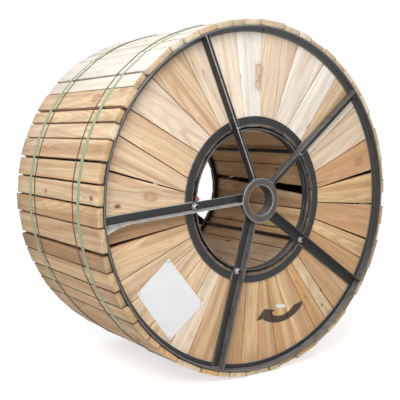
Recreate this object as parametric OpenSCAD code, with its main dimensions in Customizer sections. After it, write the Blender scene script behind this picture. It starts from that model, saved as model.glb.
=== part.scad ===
// Wooden cable drum with steel-framed flanges, lagged and strapped.
// The drum axis lies level. Seen from the front, X runs right and Z runs up.

/* [Drum] */
// Flange diameter over the steel rim
flange_d = 1200; // [900:10:1500]
// Drum width over the two rim edges
drum_w = 700; // [550:10:900]
// Thickness of the flange boards
board_t = 25; // [18:1:35]

/* [Steel frame] */
// Wall of every rolled and flat section
steel_t = 4; // [3:0.5:5]
// Rim angle: leg that lies on the boards
rim_flat = 20; // [14:1:30]
// Rim angle: leg that stands outward, from the board face
rim_stand = 32; // [24:1:45]
// Width of the flat inner ring
ring_w = 27; // [18:1:30]
// Board end that shows inside the inner ring
ring_setback = 8; // [2:1:14]
// Both legs of the spoke angle
spoke_leg = 32; // [30:1:40]

/* [Hub] */
// Diameter of the arbor bore
bore_d = 107; // [80:1:120]
// Outside diameter of the hub plate
hub_plate_d = 154; // [140:1:180]
// Thickness of the hub plate
hub_plate_t = 12; // [8:1:16]
// Wall of the hub tube behind the plate
hub_tube_wall = 5; // [4:0.5:8]
// Length of the hub over plate and tube
hub_len = 50; // [40:1:80]
// Chamfer on the plate edges
hub_chamfer = 2; // [0.5:0.5:4]

/* [Barrel] */
// Inside diameter of the sleeve in the front flange
sleeve_bore_d = 488; // [440:2:540]
// Drop of the sleeve lip behind the inner ring face
sleeve_drop = 2; // [0:1:8]
// Number of staves
staves = 20; // [16:1:24]
// Thickness of a stave
stave_t = 22; // [15:1:30]
// Open joint between staves
stave_gap = 2; // [1:0.5:5]
// Angle of the joint that stands wide open
wide_joint_angle = 6.8; // [0:0.1:18]
// Width of that joint at the front
wide_joint_front = 34; // [4:1:40]
// Width of that joint at the back
wide_joint_back = 14; // [4:1:40]
// Sideways drift of that joint from the middle to each end
wide_joint_drift = 15; // [0:1:18]

/* [Tie rods] */
// Rod diameter
rod_d = 12; // [8:1:12]
// Steel left between a rod and the edge of the barrel ring
rod_edge = 2.8; // [2:0.1:6]
// Nut size across its flats
nut_flats = 19; // [16:1:20]
// Nut height
nut_h = 10; // [6:1:12]
// Rod end that stands past the nut
rod_end = 5; // [2:1:10]

/* [Lagging] */
// Thickness of a batten
batten_t = 20; // [15:1:30]
// Angle taken up by the batten that the drum lies on
bottom_pitch = 10; // [8:0.5:12]
// Narrowest joint between battens
batten_gap = 1; // [0.5:0.5:4]

/* [Bindings] */
// Width of a strap
strap_w = 20; // [12:1:32]
// Thickness of a strap
strap_t = 1; // [0.6:0.1:1.5]
// Distance of each strap from the middle of the drum
strap_place = 205; // [190:1:230]
// Wire diameter
wire_d = 3; // [2:0.5:5]
// Distance of each wire from the middle of the drum
wire_place = 163; // [100:1:175]

/* [Hidden] */
$fn = 96;
seat = 0.2;
rod_clear = 1;
eps = 1;

// From the sleeve outward: barrel ring, rods, board ends, inner ring, staves
sleeve_r = sleeve_bore_d / 2;
barrel_ring_r = sleeve_r + steel_t + seat;
rod_circle = barrel_ring_r + rod_edge + rod_d / 2;
board_hole_r = rod_circle;
ring_r = board_hole_r + ring_setback + ring_w;
stave_r = rod_circle + rod_d / 2 + rod_clear + seat;

flange_r = flange_d / 2;
hub_r = hub_plate_d / 2;
hub_tube_r = bore_d / 2 + hub_tube_wall;
tip_z = drum_w / 2;
face_z = tip_z - rim_stand;
board_back_z = face_z - board_t;
spoke_z = face_z + steel_t;
hub_front_z = spoke_z + spoke_leg;
nut_z = spoke_z + steel_t;
stave_end_z = board_back_z - steel_t - seat;
batten_r = flange_r + seat;
strap_r = batten_r + batten_t;

// Spokes, anticlockwise from the front: angle, and the share of the leg that lies
// ahead of the radial line
spokes = [[39.5, 0.52], [112.9, -0.02], [185.1, 0.1], [254.5, 0.08], [325.1, 0.16]];

// Board joints from each spoke to the next: angle at the rim, angle at the inner
// ring, width at the rim
board_joints = [
    [[49, 44, 2], [56.7, 60.5, 4], [70.5, 72, 1.5], [87, 85, 1.5], [98.3, 99, 1.5]],
    [[121, 119.7, 1.5], [135.4, 130, 2], [148, 144.4, 3], [156.6, 162.9, 3], [168.1, 172.3, 7]],
    [[191.7, 193, 12], [203.6, 203, 2], [212, 210, 1.5], [223, 220, 1.5], [233, 230.4, 2],
        [241.5, 239.5, 1.5]],
    [[264.6, 263.5, 1.5], [271.8, 274.5, 1.5], [280.5, 281.5, 1.5], [289.8, 289.4, 1.5], [300.2, 299.5, 2],
        [306, 305.5, 1.5], [311.2, 313.2, 3]],
    [[334, 334.5, 1.5], [341.7, 343.1, 6], [355.5, 355.1, 5], [368.2, 365.4, 15], [381, 377.7, 4],
        [394.9, 391.3, 3]]
];
joint_gap_inner = 2;

// Battens that show, anticlockwise from their first edge: the angle that each takes up
seen_from = 68;
seen_pitches = [4.5, 7.6, 9.9, 6.3, 4.5, 6.3, 7.2, 5.9, 5.4, 11.3, 5.6, 7.1,
    4.8, 5.2, 6.7, 6.5, 6.3, 6.2, 7.8, 5.7, 6.2, 5.6, 5.7, 7.5];
// Extra width of the joint ahead of each batten that shows
joint_extra = [0, 0, 0.5, 0.5, 1, 2, 3, 0.5, 0, 2, 3, 0, 7, 3, 1, 5, 2, 2.5, 1, 9, 2, 4, 3, 2];
// Drop of each batten end behind the rim edge, in turn
end_drop = [2, 9, 0, 5, 12, 3, 7, 1, 10, 4, 15];

function total(v, n) = n <= 0 ? 0 : v[(n - 1) % len(v)] + total(v, n - 1);
// Edges that fill an arc with battens like those that show
function fill_edges(a0, a1) =
    let (n = round((a1 - a0) / (total(seen_pitches, len(seen_pitches)) / len(seen_pitches))),
        s = (a1 - a0) / total(seen_pitches, n))
    [for (i = [1 : n - 1]) a0 + s * total(seen_pitches, i)];

seen_to = seen_from + total(seen_pitches, len(seen_pitches));
bottom_from = 270 - bottom_pitch / 2;
bottom_to = 270 + bottom_pitch / 2;
batten_edges = concat(
    [for (i = [0 : len(seen_pitches)]) seen_from + total(seen_pitches, i)],
    fill_edges(seen_to, bottom_from), [bottom_from, bottom_to],
    fill_edges(bottom_to, seen_from + 360), [seen_from + 360]);
batten_n = len(batten_edges) - 1;

function batten_mid(i) = (batten_edges[i] + batten_edges[i + 1]) / 2;
// Sideways place of a batten edge from its middle: half the joint there is left open
function joint_half(i) = (batten_gap + (i < len(joint_extra) ? joint_extra[i] : 0)) / 2;
function batten_side(i, side) =
    side * (batten_r * tan((batten_edges[i + 1] - batten_edges[i]) / 2)
        - joint_half(side < 0 ? i : (i + 1) % batten_n));
// A point on the edge of a batten, at a distance from the axis
function beside(i, r, side) =
    let (a = batten_mid(i), h = batten_side(i, side))
    [r * cos(a) - h * sin(a), r * sin(a) + h * cos(a)];
// The line that a tight band takes over the battens
function band(r) = [for (i = [0 : batten_n - 1], side = [-1, 1]) beside(i, r, side)];

// Distance of the rod, on the middle of the flat leg, from the spoke's radial line
function heel_side(k) = spokes[k][1] * spoke_leg;
function rod_side(k) = heel_side(k) - spoke_leg / 2;
function rod_along(k) = sqrt(pow(rod_circle, 2) - pow(rod_side(k), 2));

// Lays the drum down: the axis turns level and the front faces -Y
module lay() { rotate([90, 0, 0]) children(); }
// Puts a front flange piece on the flange asked for
module on_flange(f) { lay() mirror([0, 0, f == "front" ? 0 : 1]) children(); }
// Carries a piece out along a spoke
module at_spoke(k) { rotate([0, 0, spokes[k][0]]) children(); }
// Stands a flat outline on its edge: outline x turns sideways, y along the axis
module on_edge(t) { rotate([90, 0, 90]) linear_extrude(t) children(); }
module at_rod(k) { at_spoke(k) translate([rod_along(k), rod_side(k), 0]) children(); }

module rim() {
    color("#46464a") rotate_extrude() polygon([
        [flange_r - rim_flat, face_z], [flange_r, face_z], [flange_r, tip_z],
        [flange_r - steel_t, tip_z], [flange_r - steel_t, face_z + steel_t],
        [flange_r - rim_flat, face_z + steel_t]]);
}

module inner_ring() {
    color("#454648") translate([0, 0, face_z]) difference() {
        cylinder(r = ring_r, h = steel_t);
        translate([0, 0, -eps]) cylinder(r = ring_r - ring_w, h = steel_t + 2 * eps);
    }
}

module barrel_ring() {
    color("#3c3d3f") translate([0, 0, board_back_z - steel_t]) difference() {
        cylinder(r = stave_r + stave_t, h = steel_t);
        translate([0, 0, -eps]) cylinder(r = barrel_ring_r, h = steel_t + 2 * eps);
        for (k = [0 : 4]) at_rod(k) translate([0, 0, -eps])
            cylinder(d = rod_d + rod_clear, h = steel_t + 2 * eps);
    }
}

// Lines the flange opening, from the barrel ring to a narrow lip short of the rods
module sleeve() {
    lip_r = rod_circle - rod_d / 2 - rod_clear;
    lip_z = face_z + steel_t - sleeve_drop;
    color("#4a4b4d") rotate_extrude() polygon([
        [sleeve_r, board_back_z - steel_t], [sleeve_r + steel_t, board_back_z - steel_t],
        [sleeve_r + steel_t, lip_z - steel_t], [lip_r, lip_z - steel_t], [lip_r, lip_z], [sleeve_r, lip_z]]);
}

// A thick plate on the end of a thinner tube
module hub() {
    r0 = bore_d / 2;
    c = hub_chamfer;
    plate_z = hub_front_z - hub_plate_t;
    color("#6b635f") rotate_extrude() polygon([
        [r0 + c, hub_front_z], [hub_r - c, hub_front_z], [hub_r, hub_front_z - c], [hub_r, plate_z],
        [hub_tube_r, plate_z], [hub_tube_r, hub_front_z - hub_len], [r0, hub_front_z - hub_len],
        [r0, hub_front_z - c]]);
}

module nuts() {
    color("#9a9a98") for (k = [0 : 4]) at_rod(k) translate([0, 0, nut_z]) difference() {
        cylinder(d = nut_flats / cos(30), h = nut_h, $fn = 6);
        translate([0, 0, -eps]) cylinder(d = rod_d + seat, h = nut_h + 2 * eps);
    }
}

module spoke(k) {
    heel = heel_side(k);
    reach = sqrt(pow(flange_r - steel_t - seat, 2) - pow(max(heel, spoke_leg - heel), 2));
    color("#434449") difference() {
        at_spoke(k) on_edge(reach) polygon([
            [heel - spoke_leg, spoke_z], [heel, spoke_z], [heel, spoke_z + spoke_leg],
            [heel - steel_t, spoke_z + spoke_leg], [heel - steel_t, spoke_z + steel_t],
            [heel - spoke_leg, spoke_z + steel_t]]);
        translate([0, 0, spoke_z - eps]) cylinder(r = hub_tube_r, h = spoke_leg + 2 * eps);
        translate([0, 0, spoke_z + steel_t]) cylinder(r = hub_r, h = spoke_leg);
        at_rod(k) translate([0, 0, spoke_z - eps])
            cylinder(d = rod_d + rod_clear, h = steel_t + 2 * eps);
    }
}

// The joint under a spoke runs along the middle of its flat leg and lets the rod through
function spoke_joint(k) =
    let (s = rod_side(k % 5), a = spokes[k % 5][0] + (k < 5 ? 0 : 360))
    [a + asin(s / flange_r), a + asin(s / ring_r), rod_d + 2 * rod_clear,
        rod_d + 2 * rod_clear];
// A point on one side of a joint, at a radius: the joint line runs on straight past the
// rim and the ring, and its width tapers with it
function joint_point(j, r, side) =
    let (t = (r - ring_r) / (flange_r - ring_r),
        g1 = j[3] == undef ? min(j[2], joint_gap_inner) : j[3],
        h = side * (g1 + (j[2] - g1) * t) / 2,
        p0 = ring_r * [cos(j[1]), sin(j[1])], p1 = flange_r * [cos(j[0]), sin(j[0])],
        p = p0 + (p1 - p0) * t, u = (p1 - p0) / norm(p1 - p0))
    p + h * [-u[1], u[0]];

module boards(k) {
    joints = concat([spoke_joint(k)], board_joints[k], [spoke_joint(k + 1)]);
    color("#d9b98c") for (i = [0 : len(joints) - 2]) translate([0, 0, board_back_z]) intersection() {
        linear_extrude(board_t) polygon([
            joint_point(joints[i], board_hole_r, 1), joint_point(joints[i], flange_r * 1.1, 1),
            joint_point(joints[i + 1], flange_r * 1.1, -1),
            joint_point(joints[i + 1], board_hole_r, -1)]);
        translate([0, 0, -eps]) cylinder(r = flange_r - seat, h = board_t + 2 * eps);
    }
}

module tie_rods() {
    end_z = nut_z + nut_h + rod_end;
    color("#5a5a5c") for (k = [0 : 4])
        at_rod(k) translate([0, 0, -end_z]) cylinder(d = rod_d, h = 2 * end_z);
}

module staves() {
    half = stave_r * tan(180 / staves);
    // Sideways place of a stave edge at one end: only the wide joint differs
    function edge(i, side, width, drift) =
        let (wide = i == (side > 0 ? staves - 1 : 0))
        side * half + (wide ? drift - side * width / 2 : -side * stave_gap / 2);
    color("#b08a60") for (i = [0 : staves - 1])
        rotate([0, 0, wide_joint_angle + (i + 0.5) * 360 / staves]) translate([stave_r, 0, 0])
            on_edge(stave_t) polygon([
                [edge(i, -1, wide_joint_back, wide_joint_drift), -stave_end_z],
                [edge(i, 1, wide_joint_back, wide_joint_drift), -stave_end_z],
                [edge(i, 1, wide_joint_front, -wide_joint_drift), stave_end_z],
                [edge(i, -1, wide_joint_front, -wide_joint_drift), stave_end_z]]);
}

// The battens whose middle lies in an arc
module battens(from, to) {
    color("#e2c79c") for (i = [0 : batten_n - 1]) {
        a = batten_mid(i) % 360;
        z0 = -tip_z + end_drop[(3 * i) % len(end_drop)];
        z1 = tip_z - end_drop[i % len(end_drop)];
        if ((a >= from && a < to) || (a + 360 >= from && a + 360 < to))
            rotate([0, 0, a]) translate([batten_r, batten_side(i, -1), z0])
                cube([batten_t, batten_side(i, 1) - batten_side(i, -1), z1 - z0]);
    }
}

module strap(z) {
    color("#9fcdb0") translate([0, 0, z - strap_w / 2]) difference() {
        linear_extrude(strap_w) polygon(band(strap_r + strap_t));
        translate([0, 0, -eps]) linear_extrude(strap_w + 2 * eps) polygon(band(strap_r));
    }
}

// A round wire drawn tight over the battens, eight sides round
module wire(z) {
    sides = 8;
    size = wire_d / 2 / cos(180 / sides);
    n = len(band(1));
    points = [for (s = [0 : sides - 1]) let (a = (s + 0.5) * 360 / sides)
        for (p = band(strap_r + wire_d / 2 + size * cos(a))) [p[0], p[1], z + size * sin(a)]];
    faces = [for (s = [0 : sides - 1], i = [0 : n - 1])
        [s * n + i, s * n + (i + 1) % n, (s + 1) % sides * n + (i + 1) % n, (s + 1) % sides * n + i]];
    color("#3d4a42") polyhedron(points, faces);
}

for (f = ["front", "back"]) {
    on_flange(f) rim();
    on_flange(f) inner_ring();
    on_flange(f) barrel_ring();
    on_flange(f) hub();
    on_flange(f) nuts();
    for (k = [1 : 5]) {
        on_flange(f) spoke(k - 1);
        on_flange(f) boards(k - 1);
    }
}
on_flange("front") sleeve();  // front_sleeve
lay() tie_rods();
lay() staves();
lay() battens(315, 405);  // battens_right
lay() battens(45, 135);  // battens_top
lay() battens(135, 225);  // battens_left
lay() battens(225, 315);  // battens_bottom
lay() strap(strap_place);  // strap_front
lay() strap(-strap_place);  // strap_back
lay() wire(wire_place);  // wire_front
lay() wire(-wire_place);  // wire_back
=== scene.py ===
"""Dresses the packed cable drum: sawn timber, a worn steel frame, its bindings and its marks."""

import math
import random

import bmesh
import bpy
import numpy as np
from bpy.props import FloatProperty, FloatVectorProperty, IntProperty, PointerProperty
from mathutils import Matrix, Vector, noise


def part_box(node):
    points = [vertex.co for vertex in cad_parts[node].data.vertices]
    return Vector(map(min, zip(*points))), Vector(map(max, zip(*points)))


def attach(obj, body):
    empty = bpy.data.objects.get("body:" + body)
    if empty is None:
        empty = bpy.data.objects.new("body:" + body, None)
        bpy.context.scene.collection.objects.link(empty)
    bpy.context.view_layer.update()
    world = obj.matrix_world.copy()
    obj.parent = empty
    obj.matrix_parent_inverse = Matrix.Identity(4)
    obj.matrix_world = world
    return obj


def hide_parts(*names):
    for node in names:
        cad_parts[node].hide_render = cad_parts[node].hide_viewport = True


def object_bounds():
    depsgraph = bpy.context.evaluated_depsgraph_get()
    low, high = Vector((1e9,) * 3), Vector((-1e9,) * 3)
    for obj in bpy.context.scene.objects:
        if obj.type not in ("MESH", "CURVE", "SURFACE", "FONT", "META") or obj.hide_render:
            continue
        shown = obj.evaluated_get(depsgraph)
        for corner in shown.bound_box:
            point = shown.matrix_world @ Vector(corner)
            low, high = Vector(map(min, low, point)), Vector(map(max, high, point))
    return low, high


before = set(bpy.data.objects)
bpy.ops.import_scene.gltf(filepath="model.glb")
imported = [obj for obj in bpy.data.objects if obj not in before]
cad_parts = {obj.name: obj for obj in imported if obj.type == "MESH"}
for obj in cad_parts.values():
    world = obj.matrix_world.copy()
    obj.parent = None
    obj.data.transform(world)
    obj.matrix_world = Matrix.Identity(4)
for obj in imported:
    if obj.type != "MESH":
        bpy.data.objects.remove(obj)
CAD_BOX = [list(corner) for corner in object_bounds()]

bl_info = {
    "name": "Cable drum dressing",
    "version": (1, 0, 0),
    "blender": (4, 5, 0),
    "location": "3D View > Sidebar > Cable drum",
    "description": "Dresses the packed cable drum with timber, steel, bindings and marks",
    "category": "Object",
}

FLANGES = (("front", -1.0), ("back", 1.0))
LAGGING = ("battens_top", "battens_left", "battens_bottom", "battens_right")
AXIS = (0, 1, 0)

# Spokes seen from the front, anticlockwise: angle, and how far the heel lies ahead of the radial line
SPOKES = ((39.5, 0.01664), (112.9, -0.00064), (185.1, 0.0032), (254.5, 0.00256), (325.1, 0.00512))
SPOKE_LEG = 0.032
STEEL_WALL = 0.004
SPOKE_STEPS = 40
RIM_CLEAR = 0.0002
ROD_CIRCLE = 0.257
# One spoke end is knocked outward at the rim: flange and spoke, how far, and over what run
FLARED_SPOKE = ("front", 2)
FLARE = 0.021
FLARE_RUN = 0.09
RUBBED_SPOKES = (("front", 1), ("front", 2))
# The spoke whose paint is darker
DARKER_SPOKE = ("front", 4)
# Where the rolled rings are closed, in degrees
SEAM = 87.0
# Cap nuts: across, height of the foot, height of the dome
NUT = (0.0240, 0.0035, 0.0115)
WELD_BALL = 0.0034
WELD_SEED = 4
WIRE_CORNER = 0.012
# Beads end this far inside the edges of the ring and the tip of the spoke, and climb this far up its leg
RING_WELD_INSET, TIP_WELD_INSET, TIP_WELD_HEIGHT = 0.003, 0.001, 0.022

# Timber: x sun-bleached, w bleached, v pale, c cream, t tan, g golden, m half heartwood,
# h warm heartwood, o orange, r reddish, k streaked, d dull, b brown, p pinkish
TONES = {
    # value, share of heartwood or, below zero, of bleaching, grime, gold
    "x": (1.01, -0.95, 0.00, 0.00),
    "w": (1.04, -0.60, 0.00, 0.00),
    "v": (1.00, -0.28, 0.02, 0.00),
    "c": (0.98, 0.10, 0.03, 0.05),
    "t": (0.94, 0.30, 0.06, 0.25),
    "g": (0.99, 0.20, 0.04, 0.65),
    "p": (0.97, 0.62, 0.04, 0.00),
    "m": (0.98, 0.45, 0.04, 0.05),
    "h": (1.00, 0.66, 0.05, 0.50),
    "o": (1.01, 0.45, 0.06, 0.90),
    "r": (0.93, 1.00, 0.05, 0.50),
    "k": (0.92, 0.62, 0.14, 0.40),
    "d": (0.87, 0.36, 0.18, 0.40),
    "b": (0.76, 0.70, 0.25, 0.45),
}
# Front boards by fan: each board's tone, with painted light in the upper fans and painted shade in the low ones
BOARD_TONES = ("cxwvxw", "vmvccc", "rtcccvg", "hgkghock", "hghghvw")
BACK_TONES = "ctpmtgb"
# The battens that the camera sees, from the top anticlockwise, and the angle of the first edge
SEEN_FROM = 68.0
# The top battens are bleached pale, partly as painted top light
BATTEN_TONES = "xxxxxxxxxxx" + "cccmtmktbtddd"
# The other battens by angle: bleaching, partly painted top light, fades off from the top to the right
HIDDEN_TONES = ((10.0, "vct"), (35.0, "vwv"), (68.0, "wxw"), (350.0, "ctcpmtb"), (360.0, "vct"))
# The other battens swell a little, and their front ends stand back from the tip of the rim
HIDDEN_SWELL = -0.0005
HIDDEN_SETBACK = 0.010
# Staves by angle: the low ones are paler than the upper ones, as painted light falling into the barrel
STAVE_TONES = ((15.0, "tg"), (42.0, "cg"), (115.0, "vg"), (265.0, "ttghtm"), (318.0, "vc"), (360.0, "tgd"))
# Knots on the front flange, seen from the front: right, up and radius in metres, below zero without a dark core
BOARD_KNOTS = (
    (-0.4191, 0.0300, -0.011), (-0.5392, 0.0061, 0.0055), (0.3185, -0.3593, 0.0042), (0.3246, -0.4178, 0.0040),
    (0.5081, 0.1209, -0.011), (0.0151, 0.4446, -0.012), (0.0110, 0.4031, -0.010),
)
# Knots on the lagging: angle, place along the axis and radius in metres, below zero without a dark core
BATTEN_KNOTS = (
    (177.0, 0.065, 0.006), (177.0, -0.300, 0.006), (146.0, -0.120, -0.012), (143.0, -0.290, -0.010),
)
LAGGING_R = 0.62
NO_KNOT = (9.0, 9.0, 0.0001)
# Seeds of the planks, and how likely a stray knot is where none is placed
BOARD_SEEDS, SEEDS_PER_FAN = {"front": 0, "back": 1000}, 40
STAVE_SEED, BATTEN_SEED = 3000, 5000
BACK_KNOTS, STAVE_KNOTS, HIDDEN_KNOTS = 0.25, 0.35, 0.3
# Edges sharper than this angle are rounded, each by its own share of the largest rounding
SHARP_EDGE = 0.6
ROUND_SHARE = (0.4, 0.8)
# Planks are cut to this length and width, so that their edges can wander
CUT_STEPS = (0.035, 0.03)
FACE_WAVE = 0.0006
END_WAVE = 0.0012
# Grain: stretch along, across and through the plank, detail, roughness
GRAIN = {
    "wander": ((1.7, 7.0, 7.0), 2.0, 0.5),
    "streak": ((1.5, 42.0, 42.0), 3.0, 0.6),
    "fibre": ((14.0, 520.0, 520.0), 2.0, 0.6),
    "patch": ((4.0, 9.0, 9.0), 3.0, 0.6),
    "blot": ((16.0, 48.0, 48.0), 4.0, 0.65),
    "speck": ((95.0, 330.0, 330.0), 2.0, 0.6),
    "band": ((0.8, 22.0, 22.0), 2.0, 0.5),
    "check": ((0.9, 24.0, 24.0), 2.0, 0.5),
    "sawn": ((310.0, 3.0, 3.0), 1.0, 0.5),
}
RING_PITCH = 0.0062
GOLD = (1.0, 0.86, 0.60)
BROAD_RING = (0.580, 0.350, 0.195)
PALE_END, DARK_END, END_EDGE = (0.86, 0.73, 0.52), (0.64, 0.39, 0.15), (0.20, 0.12, 0.06)
DIRT, BLOT, END_STAIN = (0.26, 0.185, 0.125), (0.34, 0.205, 0.110), (0.27, 0.20, 0.13)
# Dirt with painted shade at the joints, painted shade on the inner faces, painted shade in the gap at the low ends
SIDE_DIRT_AND_SHADE, UNDERSIDE_SHADE, GAP_SHADE = (0.24, 0.16, 0.09), (0.10, 0.075, 0.05), (0.020, 0.016, 0.013)
KNOT_HALO, KNOT_EDGE = (0.46, 0.235, 0.110), (0.33, 0.150, 0.070)
HOLE_EDGE_DARK = (0.030, 0.028, 0.027)
# Scuffs, rust, a painted sky sheen, painted shade low down and the seam line
SCUFF, RUST, SKY_SHEEN = (0.085, 0.080, 0.076), (0.085, 0.046, 0.026), (0.165, 0.172, 0.180)
LOW_SHADE, SEAM_LINE = (0.016, 0.016, 0.018), (0.006, 0.006, 0.006)
# Strap colours: pale patches, painted top light, painted shade and scuffs
STRAP_PALE, STRAP_TOP_LIGHT = (0.33, 0.44, 0.27), (0.52, 0.60, 0.40)
STRAP_SHADE, STRAP_SCUFF = (0.21, 0.22, 0.135), (0.42, 0.45, 0.38)
WIRE_RUST, PAPER_GREY, DAB_DARK = (0.19, 0.18, 0.15), (0.70, 0.69, 0.66), (0.36, 0.03, 0.05)
EMBOSS = 900.0

# Painted arrow, right and up in metres: two circles with their radii, a cut, its ends, and the parts of the head
ARROW_OUTER, ARROW_INNER = (0.1141, -0.3081, 0.1459), (0.1195, -0.3482, 0.0814)
ARROW_CUT = (0.222, -0.3892, 0.0836, -0.4212)
ARROW_TAIL, ARROW_NECK = 0.2255, 0.040
ARROW_HEAD = (
    ((0.0096, -0.4343), (0.0400, -0.4324), (0.0465, -0.3957)),
    ((0.0465, -0.3957), (0.0400, -0.4345), (0.0883, -0.4311), (0.0825, -0.4093)),
    ((0.0465, -0.3957), (0.0812, -0.4125), (0.0993, -0.4068)),
)
# Corners of the sheet and the sticker on the front flange, right and up in metres
SHEET = ((-0.354, -0.175), (-0.219, -0.343), (-0.351, -0.449), (-0.474, -0.279))
STICKER = ((0.1005, -0.386), (0.1415, -0.391), (0.1415, -0.403), (0.1005, -0.398))
SHEET_STEPS, SHEET_LIFT = (22, 30), 0.0020
STICKER_STEPS, STICKER_LIFT = (8, 4), 0.0004
PAPER_THICK = 0.0003
# Staples: half length, half thickness, height, and distance from the corner of the sheet
STAPLE = (0.005, 0.0006, 0.0016, 0.012)
# Paint dab: angle round the sleeve, half sizes outward, sideways and along the axis, inset
DAB_TURN = 176.6
DAB = (0.0085, 0.0072, 0.0042)
DAB_INSET = 0.0025

CAMERA_SHIFT = (-0.0105, -0.01625)
FLOOR_REACH = 40.0
FLOOR_GLOW = 0.64
SKY_LIGHT = 0.42
# Lamps: name, place, size, power
LAMPS = (("side_softbox", (-1.9, -2.2, 2.3), 2.2, 118.0), ("top_softbox", (-0.6, 0.3, 3.4), 2.4, 12.0))


def tint(name, description, *colour):
    return FloatVectorProperty(name=name, description=description, default=colour, subtype="COLOR", size=3,
                               min=0, max=1)


def span(name, description, default, low, high):
    return FloatProperty(name=name, description=description, default=default, min=low, max=high, unit="LENGTH")


class DrumTimber(bpy.types.PropertyGroup):
    """Sizes and colours of the sawn timber."""
    edge_round: span("Edge rounding", "Largest rounding of a sawn edge", 0.0016, 0.0003, 0.004)
    ragged: span("Ragged edge", "How far an edge wanders inward", 0.0016, 0.0, 0.004)
    batten_ragged: span("Ragged batten", "How far the edge of a batten wanders inward", 0.0012, 0.0, 0.004)
    sapwood: tint("Sapwood", "Colour of the pale outer wood", 0.800, 0.620, 0.420)
    heartwood: tint("Heartwood", "Colour of the pinkish inner wood", 0.650, 0.410, 0.245)
    latewood: tint("Latewood", "Colour of the ring lines", 0.540, 0.310, 0.155)
    bleached: tint("Bleached", "Colour of wood that the sun has bleached", 0.880, 0.820, 0.730)
    knot: tint("Knots", "Colour of knots and checks", 0.100, 0.045, 0.018)


class DrumSteel(bpy.types.PropertyGroup):
    """Sizes and colours of the steel frame."""
    edge_round: span("Edge rounding", "Rounding of rolled and cut edges", 0.0008, 0.0002, 0.0018)
    round_sides: IntProperty(name="Sides round", description="Facets round a rolled ring",
                             default=180, min=48, max=360)
    paint: tint("Black paint", "Colour of the thin black paint", 0.032, 0.031, 0.031)
    rim: tint("Rim paint", "Colour of the paint on the rims", 0.063, 0.061, 0.059)
    worn: tint("Worn edge", "Colour where the paint has gone", 0.480, 0.465, 0.435)
    # Dust that settles on upward faces, laid on as painted top light as well
    dust_and_top_light: tint("Dust", "Colour of what settles on upward faces", 0.310, 0.300, 0.280)
    hub: tint("Hub", "Colour of the bare hub face", 0.088, 0.081, 0.076)
    zinc: tint("Zinc", "Colour of the cap nuts", 0.370, 0.370, 0.365)
    rod: tint("Tie rods", "Colour of the tie rods", 0.013, 0.013, 0.014)
    weld: tint("Welds", "Colour of the weld beads", 0.19, 0.185, 0.18)
    bead: span("Weld ripple", "Spacing of the ripples in a weld", 0.0034, 0.002, 0.008)


class DrumBindings(bpy.types.PropertyGroup):
    """Sizes and colours of the straps and wires."""
    strap: tint("Strap", "Colour of the plastic strap", 0.255, 0.370, 0.205)
    wire: tint("Wire", "Colour of the binding wire", 0.055, 0.075, 0.058)
    wire_d: span("Wire diameter", "Diameter of the binding wire", 0.003, 0.001, 0.005)


class DrumMarks(bpy.types.PropertyGroup):
    """Sizes and colours of what is stuck and painted on the front flange."""
    paper: tint("Paper", "Colour of the blank sheets", 0.770, 0.775, 0.790)
    staple: tint("Staples", "Colour of the staples", 0.20, 0.19, 0.18)
    arrow: tint("Arrow", "Colour of the painted arrow", 0.043, 0.033, 0.028)
    dab: tint("Dab", "Colour of the paint lump on the sleeve", 0.560, 0.060, 0.130)


class DrumStage(bpy.types.PropertyGroup):
    """Camera and light."""
    azimuth: FloatProperty(name="Azimuth", description="Turn of the camera round the drum, left of the front",
                           default=math.radians(33.90), subtype="ANGLE")
    elevation: FloatProperty(name="Elevation", description="Height of the camera over the axis",
                             default=math.radians(4.72), subtype="ANGLE")
    distance: FloatProperty(name="Distance", description="Camera to the middle of the drum",
                            default=2.903, unit="LENGTH")
    lens: FloatProperty(name="Lens", description="Focal length on a 36 mm frame, in millimetres", default=67.7,
                        unit="CAMERA")
    floor: tint("Floor", "Colour of the floor", 0.820, 0.820, 0.815)


class Flow:
    """A node's output that plain arithmetic goes on from."""

    def __init__(self, shader, socket):
        self.shader, self.socket = shader, socket

    def __add__(self, other):
        return self.shader.math("ADD", self, other)

    def __sub__(self, other):
        return self.shader.math("SUBTRACT", self, other)

    def __mul__(self, other):
        return self.shader.math("MULTIPLY", self, other)

    def __truediv__(self, other):
        return self.shader.math("DIVIDE", self, other)

    def __abs__(self):
        return self.shader.math("ABSOLUTE", self)


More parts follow.
